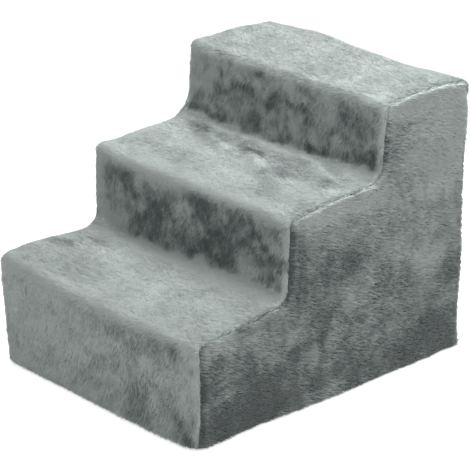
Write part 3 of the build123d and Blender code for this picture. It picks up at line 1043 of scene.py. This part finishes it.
def pile_rule():
    """Tufts of pile spread over cloth: three-sided spikes that lie along its nap."""
    rule = Rule("plush_pile", [
        ("Cloth", "Geometry"), ("Density", "Float"), ("Length", "Float"), ("Width", "Float"),
        ("Lift", "Float"), ("Tousle", "Float"), ("Streak", "Float"), ("Seed", "Int"), ("Finish", "Material"),
    ])
    given, half = rule.given, (0.5, 0.5, 0.5)
    density = rule.maths("MULTIPLY", given["Density"], rule.named("thick"))
    roots = rule.put(
        "GeometryNodeDistributePointsOnFaces", {"distribute_method": "RANDOM"}, "Points",
        Mesh=given["Cloth"], Density=density, Seed=given["Seed"])
    normal = roots.node.outputs["Normal"]
    place = rule.put("GeometryNodeInputPosition")

    # The way each tuft leans: along the nap, swung by clouds and by chance
    narrow = rule.vectors("MULTIPLY", rule.named("flow", "FLOAT_VECTOR"), (0.24, 1.0, 1.0))
    streak = rule.cloudy(narrow, 430.0, 1.0)
    broad = rule.vectors("SUBTRACT", rule.cloudy(place, 26.0, 2.0, "Color"), half)
    small = rule.vectors("SUBTRACT", rule.cloudy(place, 120.0, 1.0, "Color"), half)
    vector_kind, float_kind = {"data_type": "FLOAT_VECTOR"}, {"data_type": "FLOAT"}
    pick = rule.put("FunctionNodeRandomValue", vector_kind, _0=(-1, -1, -1), _1=(1, 1, 1), Seed=given["Seed"])
    swing = rule.vectors("ADD", rule.scaled(broad, 3.2), rule.scaled(small, 1.6))
    swing = rule.vectors("ADD", swing, rule.scaled(pick, 0.35))
    loose = rule.maths("MULTIPLY", given["Tousle"], rule.named("tousled"))
    lean = rule.vectors("ADD", rule.named("nap", "FLOAT_VECTOR"), rule.scaled(swing, loose))
    streak_lift = rule.maths("MULTIPLY", rule.maths("SUBTRACT", streak, 0.5), given["Streak"])
    upright = rule.scaled(normal, rule.maths("ADD", given["Lift"], streak_lift))
    flatten = rule.scaled(normal, rule.maths("MULTIPLY", rule.vectors("DOT_PRODUCT", lean, normal), -1.0))
    aim = rule.vectors("ADD", rule.vectors("ADD", lean, flatten), upright)
    turn = rule.put("FunctionNodeAlignRotationToVector", {"axis": "Z"}, Vector=aim)

    # One spike, laid on every root at its own length and with its own tone
    sizes = {"Vertices": 3, "Radius_Top": 0.0, "Radius_Bottom": 0.5, "Depth": 1.0}
    spike = rule.put("GeometryNodeMeshCone", {"fill_type": "NGON"}, "Mesh", **sizes)
    level = rule.put("ShaderNodeSeparateXYZ", out="Z", _0=place)
    spike = rule.stored(spike, "POINT", "tip", level)
    chance_seed = rule.maths("ADD", given["Seed"], 7.0)
    chance = rule.put("FunctionNodeRandomValue", float_kind, 1, Seed=chance_seed, _2=0.75, _3=1.2)
    tall = rule.maths("MULTIPLY", rule.maths("MULTIPLY", given["Length"], chance), rule.named("short"))
    tall = rule.maths("MULTIPLY", tall, rule.maths("ADD", 0.72, rule.maths("MULTIPLY", streak, 0.56)))
    size = rule.put("ShaderNodeCombineXYZ", _0=given["Width"], _1=given["Width"], _2=tall)
    laid = rule.put("GeometryNodeInstanceOnPoints", Points=roots, Instance=spike, Rotation=turn, Scale=size)
    tone_seed = rule.maths("ADD", given["Seed"], 19.0)
    tone = rule.put("FunctionNodeRandomValue", float_kind, 1, Seed=tone_seed)
    rule.close(rule.stored(laid, "INSTANCE", "tone", tone))
    return rule


def tuft_values(made, label, width):
    """A value of each tuft's four corners."""
    data = np.zeros(len(made.vertices) * width)
    made.attributes[label].data.foreach_get("vector" if width == 3 else "value", data)
    return data.reshape((-1, 4, 3) if width == 3 else (-1, 4))


def flat_unwrap(points):
    """Places on the unit square, seen along the thinnest side of the points' box."""
    low, span = points.min(0), points.max(0) - points.min(0)
    kept = [k for k in range(3) if k != int(np.argmin(span))]
    return (points[:, kept] - low[kept]) / span[kept] * 0.98 + 0.01


def tuft_mesh(name, place, values):
    """A mesh of three-sided spikes from their four corners each, with named values of their corners."""
    count = len(place)
    mesh = bpy.data.meshes.new(name)
    spike_faces = np.array([[1, 2, 0], [2, 3, 0], [3, 1, 0], [3, 2, 1]])
    corners = (4 * np.arange(count)[:, None, None] + spike_faces[None]).reshape(-1)
    mesh.vertices.add(count * 4)
    mesh.vertices.foreach_set("co", place.ravel())
    mesh.loops.add(count * 12)
    mesh.loops.foreach_set("vertex_index", corners)
    mesh.polygons.add(count * 4)
    mesh.polygons.foreach_set("loop_start", np.arange(count * 4) * 3)
    for label, value in values.items():
        kind = "FLOAT_VECTOR" if value.shape[-1] == 3 else "FLOAT"
        layer = mesh.attributes.new(label, kind, "POINT")
        layer.data.foreach_set("vector" if kind == "FLOAT_VECTOR" else "value", value.ravel())
    places = flat_unwrap(place.reshape(-1, 3))[corners]
    mesh.uv_layers.new(name="OFBake").data.foreach_set("uv", places.ravel())
    mesh.materials.append(fibre)
    mesh.update(calc_edges=True)
    mesh.validate()
    return mesh


def grow_pile(cloth, name, rate, seed, keep, lift=0.62):
    """The pile that stands on a piece of cloth, as its own piece. keep picks the tufts to keep."""
    made = pile.run(cloth, {
        "Density": per_m2 * rate * 1.0, "Length": pile_length,
        "Width": pile_width * 1.0, "Lift": lift, "Tousle": 0.45, "Streak": 0.5,
        "Seed": seed, "Finish": fibre,
    })
    place = np.zeros(len(made.vertices) * 3)
    made.vertices.foreach_get("co", place)
    place = place.reshape(-1, 4, 3)
    pelt = tuft_values(made, "pelt", 3)[:, 0]
    good = keep(place, pelt)
    values = {}
    for label, width in (("tone", 1), ("shade", 1), ("flow", 3)):
        values[label] = np.repeat(tuft_values(made, label, width)[good, :1], 4, 1)
    values["tip"] = tuft_values(made, "tip", 1)[good]
    bpy.data.meshes.remove(made)
    place = place[good]
    place[..., 2] = np.maximum(place[..., 2], 0.35 * mm)
    return add_object(name, tuft_mesh(name, place, values))


def walk_between(low, high):
    return lambda place, pelt: (pelt[:, 1] > low) & (pelt[:, 1] <= high)


def below_slant(place, pelt):
    """Picks the lower front half of a side panel."""
    return pelt[:, 1] + pelt[:, 0] * 0.62 <= 128 * mm


def above_slant(place, pelt):
    return ~below_slant(place, pelt)


def clear_of_zip(place, pelt):
    """Leaves out tufts that would reach over the coils, where the slider runs."""
    up = place[..., 2] / back_up.z
    over = np.abs(np.abs(place[..., 0]) - zip_leg_out) < 5.4 * mm
    leg = (over & (up > zip_low + zip_bend) & (up < zip_top + 1 * mm)).any(1)
    low = ((np.abs(up - zip_low) < 4.5 * mm) & (np.abs(place[..., 0]) < zip_leg_out - zip_bend)).any(1)
    return ~(leg | low)


# Plush panels: each cloth with the pile that grows on it
pile = pile_rule()
strip = make_strip()
right_side = make_side("plush_right_cloth", 1)
left_side = make_side("plush_left_cloth", -1)
flap = make_flap()
border = make_border()

piles = {strip.name: []}
for name, low, high, rate in (
    ("pile_front", 0, lip_one_mark, 1.15),
    ("pile_low_tread", lip_one_mark, nook_one_mark, 1.1),
    ("pile_middle_riser", nook_one_mark, lip_two_mark, 1.35),
    ("pile_middle_tread", lip_two_mark, nook_two_mark, 1.1),
    ("pile_high_riser", nook_two_mark, lip_three_mark, 1.35),
    ("pile_top", lip_three_mark, strip_end, 1.05),
):
    piles[strip.name].append(grow_pile(strip, name, rate, 11, walk_between(low, high), 0.6))
for cloth, name, rate, seed in ((right_side, "pile_right", 0.95, 21), (left_side, "pile_left", 0.5, 31)):
    piles[cloth.name] = [
        grow_pile(cloth, name + "_low", rate, seed, below_slant),
        grow_pile(cloth, name + "_high", rate, seed + 1, above_slant),
    ]
piles[border.name] = [grow_pile(border, "pile_border", 0.55, 41, clear_of_zip)]
piles[flap.name] = [grow_pile(flap, "pile_flap", 0.48, 51, clear_of_zip)]


def thicken(cloth, thickness, material):
    solid = cloth.modifiers.new("thickness", "SOLIDIFY")
    solid.thickness, solid.offset = thickness, -1
    cloth.data.materials.append(material)


for cloth, replaced, flat, area in (
    (strip, "step_strip", (0.345, 0.765), None),
    (right_side, "right_side_panel", (0.445, 0.345), 0.101),
    (left_side, "left_side_panel", (0.445, 0.345), 0.101),
    (border, "back_border", (0.34, 0.32), 0.034),
    (flap, "back_flap", (0.265, 0.285), 0.071),
):
    thicken(cloth, cloth_thick, backing)
    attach(cloth, "stairs")
    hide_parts(replaced)
    for piece in piles[cloth.name]:
        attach(piece, "stairs")

# CAD pieces that keep their shape get their finish
for name, finish in (
    ("base_foam_slab", foam_finish), ("middle_foam_slab", foam_finish), ("top_foam_slab", foam_finish),
    ("outer_zip_tape", tape_finish), ("inner_zip_tape", tape_finish), ("zip_top_stops", metal_finish),
    ("zip_bottom_stop", metal_finish), ("zip_slider", metal_finish), ("zip_pull", metal_finish),
):
    for place in nodes[name].material_slots:
        place.material = finish


# Base: a thin cloth with rounded corners, and its grip dots
base_half = half_width(0) - cover_thick
base_front, base_back = front + cover_thick, rear(0) - cover_thick
base_level, base_cloth_thick = 2.5 * mm, 1.7 * mm
dot_spacing, dot_round, dot_high, dot_level, dot_top = 12 * mm, 1.6 * mm, 0.8 * mm, 0.82 * mm, 1.0 * mm
dot_margin = 24 * mm


def dot_rule():
    """Low rubber domes in a staggered grid."""
    rule = Rule("grip_dots", [
        ("Base", "Geometry"), ("Across", "Float"), ("Along", "Float"), ("Finish", "Material"),
    ])
    grids = []
    for less in (0.0, 1.0):
        sizes = {}
        for label, side in (("Across", "X"), ("Along", "Y")):
            number = rule.maths("FLOOR", rule.maths("DIVIDE", rule.given[label], dot_spacing))
            steps = rule.maths("SUBTRACT", number, less)
            sizes["Vertices_" + side] = rule.maths("ADD", steps, 1.0)
            sizes["Size_" + side] = rule.maths("MULTIPLY", steps, dot_spacing)
        grids.append(rule.put("GeometryNodeMeshGrid", **sizes))
    joined = rule.put("GeometryNodeJoinGeometry", _0=grids[0])
    rule.feed(joined.node.inputs[0], grids[1])
    points = rule.put("GeometryNodeMeshToPoints", Mesh=joined)
    ball = rule.put("GeometryNodeMeshUVSphere", Segments=7, Rings=4, Radius=1.0)
    size = (dot_round, dot_round, dot_high)
    rule.close(rule.put("GeometryNodeInstanceOnPoints", Points=points, Instance=ball, Scale=size))
    return rule


def make_base_cloth():
    corners = [
        (-base_half, base_front), (base_half, base_front), (base_half, base_back), (-base_half, base_back),
    ]
    line, _ = rounded_corners(corners, [18 * mm, 18 * mm, 8 * mm, 8 * mm], True)
    line = even_line([tuple(p) for p in line], 8 * mm)
    verts, faces = fill_outline(line, 12 * mm, (3 * mm,))
    points = triple(verts[:, 0], verts[:, 1], base_level)
    if face_ways(points, faces)[:, 2].sum() <= 0:
        faces = faces[:, ::-1]
    return cloth_piece("base_cloth", points, faces.tolist(), {})


def make_grip_dots(cloth):
    mesh = dot_rule().run(cloth, {
        "Across": 2 * base_half - dot_margin, "Along": base_back - base_front - dot_margin,
        "Finish": rubber_finish,
    })
    mesh.name = "grip_dots"
    mesh.transform(Matrix.Translation((0, (base_front + base_back) / 2, dot_level)))
    for vertex in mesh.vertices:
        vertex.co.z = min(vertex.co.z, dot_top)
    return add_object("grip_dots", mesh)


base_cloth = make_base_cloth()
grip_dots = make_grip_dots(base_cloth)
thicken(base_cloth, base_cloth_thick, base_cloth_finish)
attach(base_cloth, "stairs")
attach(grip_dots, "stairs")
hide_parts("anti_slip_base")


# Zip: two wound coils, and a row of stitches along each tape
coil_level = tape_out + coil_high / 2
coil_mid = (chain_gap + coil_wide) / 2
coil_pitch, coil_turn_steps, coil_wire, wire_room = 1.5 * mm, 8, 0.33 * mm, 0.36 * mm
stitch_out, stitch_step, stitch_long, stitch_thread = 5.7 * mm, 2.6 * mm, 1.9 * mm, 0.22 * mm


def coil_rule():
    """A wire wound along a line into a flattened coil."""
    rule = Rule("zip_coil", [("Line", "Geometry"), ("Out", "Vector"), ("Finish", "Material")])
    out = rule.given["Out"]
    line = rule.put("GeometryNodeMeshToCurve", _0=rule.given["Line"])
    step = coil_pitch / coil_turn_steps
    fine = rule.put("GeometryNodeResampleCurve", {"mode": "LENGTH"}, Curve=line, Length=step)
    turn = rule.maths("MULTIPLY", rule.put("GeometryNodeInputIndex"), 2 * math.pi / coil_turn_steps)
    aside = rule.vectors("CROSS_PRODUCT", rule.put("GeometryNodeInputTangent"), out)
    over = rule.scaled(aside, rule.maths("MULTIPLY", rule.maths("COSINE", turn), coil_wide / 2 - wire_room))
    rise = rule.scaled(out, rule.maths("MULTIPLY", rule.maths("SINE", turn), coil_high / 2 - wire_room))
    wound = rule.put("GeometryNodeSetPosition", Geometry=fine, Offset=rule.vectors("ADD", over, rise))
    ring = rule.put("GeometryNodeCurvePrimitiveCircle", Resolution=5, Radius=coil_wire)
    rule.close(rule.put("GeometryNodeCurveToMesh", Curve=wound, Profile_Curve=ring, Fill_Caps=True))
    return rule


def stitch_rule():
    """Short stitches laid one after another along a line."""
    rule = Rule("lock_stitches", [("Line", "Geometry"), ("Finish", "Material")])
    line = rule.put("GeometryNodeMeshToCurve", _0=rule.given["Line"])
    even = rule.put("GeometryNodeResampleCurve", {"mode": "LENGTH"}, Curve=line, Length=stitch_step)
    aim = rule.put(
        "FunctionNodeAlignRotationToVector", {"axis": "Z"}, Vector=rule.put("GeometryNodeInputTangent"))
    bead = rule.put("GeometryNodeMeshUVSphere", Segments=6, Rings=4, Radius=0.5)
    size = (2 * stitch_thread, 2 * stitch_thread, stitch_long)
    rule.close(rule.put("GeometryNodeInstanceOnPoints", Points=even, Instance=bead, Rotation=aim, Scale=size))
    return rule


def on_back(points, level):
    """Places on the leaning back: across, up its slope, and a level out from the foam."""
    foot = back_foot + back_out * (level - cover_thick)
    return [foot + Vector((x, 0, 0)) + back_up * up for x, up in points]


def run_along(rule, name, points, values):
    """A piece that a rule makes along a line of points."""
    line = bpy.data.meshes.new("line")
    line.from_pydata([tuple(p) for p in points], [(k, k + 1) for k in range(len(points) - 1)], [])
    holder = add_object("line", line)
    mesh = rule.run(holder, values)
    mesh.name = name
    bpy.data.objects.remove(holder)
    bpy.data.meshes.remove(line)
    return add_object(name, mesh)


coil, stitches = coil_rule(), stitch_rule()
for spread, node, name in (
    (coil_mid, "outer_zip_coil", "wound_outer_coil"), (-coil_mid, "inner_zip_coil", "wound_inner_coil"),
):
    points = on_back(zip_u(spread, chain_top - 0.4 * mm, 2 * mm), coil_level)
    piece = run_along(coil, name, points, {"Out": tuple(back_out), "Finish": coil_finish})
    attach(piece, "stairs")
    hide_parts(node)
for spread, name in ((stitch_out, "outer_stitches"), (-stitch_out, "inner_stitches")):
    points = on_back(zip_u(spread, zip_top - 1 * mm, 2 * mm), tape_out + 0.05 * mm)
    piece = run_along(stitches, name, points, {"Finish": thread_finish})
    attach(piece, "stairs")


# Studio: a pale floor and a plain bright world, white to the camera
white = (1, 1, 1, 1)
floor_half, floor_glow, world_level = 30, 0.68, 0.55


def studio_floor():
    mesh = bpy.data.meshes.new("studio_floor")
    corners = [(x * floor_half, y * floor_half, 0) for x, y in ((-1, -1), (1, -1), (1, 1), (-1, 1))]
    mesh.from_pydata(corners, [], [(0, 1, 2, 3)])
    paint = Paint("studio_floor")
    dull = paint.finish(Base_Color=(0.55, 0.55, 0.55, 1), Roughness=0.9, Specular_IOR_Level=0.0)
    mesh.materials.append(dull)
    seen = paint.put("ShaderNodeBsdfDiffuse", Color=(0.6, 0.6, 0.6, 1))
    glow = paint.put("ShaderNodeEmission", Color=white, Strength=floor_glow)
    both = paint.put("ShaderNodeAddShader", _0=seen, _1=glow)
    plain = paint.tree.nodes["Principled BSDF"].outputs[0]
    mixed = paint.put("ShaderNodeMixShader", _0=paint.looking(), _1=plain, _2=both)
    paint.feed(paint.tree.nodes["Material Output"].inputs["Surface"], mixed)
    add_object("studio_floor", mesh)


def studio_world():
    world = bpy.data.worlds.new("studio")
    bpy.context.scene.world = world
    world.use_nodes = True
    sky = Tree(world.node_tree)
    plain = world.node_tree.nodes["Background"]
    plain.inputs["Color"].default_value = white
    plain.inputs["Strength"].default_value = world_level
    bright = sky.put("ShaderNodeBackground", Color=white, Strength=1.0)
    mixed = sky.put("ShaderNodeMixShader", _0=sky.looking(), _1=plain.outputs[0], _2=bright)
    sky.feed(world.node_tree.nodes["World Output"].inputs["Surface"], mixed)


def soft_light(name, place, size, watts):
    """A square light that faces the stairs."""
    lamp = bpy.data.lights.new(name, "AREA")
    lamp.shape, lamp.size, lamp.energy = "SQUARE", size, watts
    holder = add_object(name, lamp)
    holder.location = place
    holder.rotation_euler = (Vector((0, 0, 0.15)) - Vector(place)).to_track_quat("-Z", "Y").to_euler()


studio_floor()
studio_world()
soft_light("overhead", (0.1, 0.25, 1.6), 1.3, 38)
soft_light("back_fill", (-1.5, 2.1, 1.0), 1.2, 6)
soft_light("front_fill", (1.6, -2.2, 1.3), 1.5, 14)

# Camera, solved from the photograph's perspective: away and level in metres, focal and centre in pixels
camera_turn, camera_rise, camera_away, camera_level = math.radians(46.66), math.radians(21.48), 2.9, 0.17
photo_wide, focal, centre_x, centre_y = 470, 2421, 236.1, 221.8
sensor = 36
sideways, forwards = math.sin(camera_turn), -math.cos(camera_turn)
away = Vector((sideways * math.cos(camera_rise), forwards * math.cos(camera_rise), math.sin(camera_rise)))
lens = bpy.data.cameras.new("camera")
lens.sensor_width, lens.sensor_fit = sensor, "HORIZONTAL"
lens.lens = focal * sensor / photo_wide
lens.shift_x = (photo_wide / 2 - centre_x) / photo_wide
lens.shift_y = (centre_y - photo_wide / 2) / photo_wide
lens.clip_start, lens.clip_end = 0.05, 100
camera = add_object("camera", lens)
camera.location = Vector((0, 0, camera_level)) + away * camera_away
camera.rotation_euler = (-away).to_track_quat("-Z", "Y").to_euler()
bpy.context.scene.camera = camera
bpy.context.scene.view_settings.view_transform = "Standard"
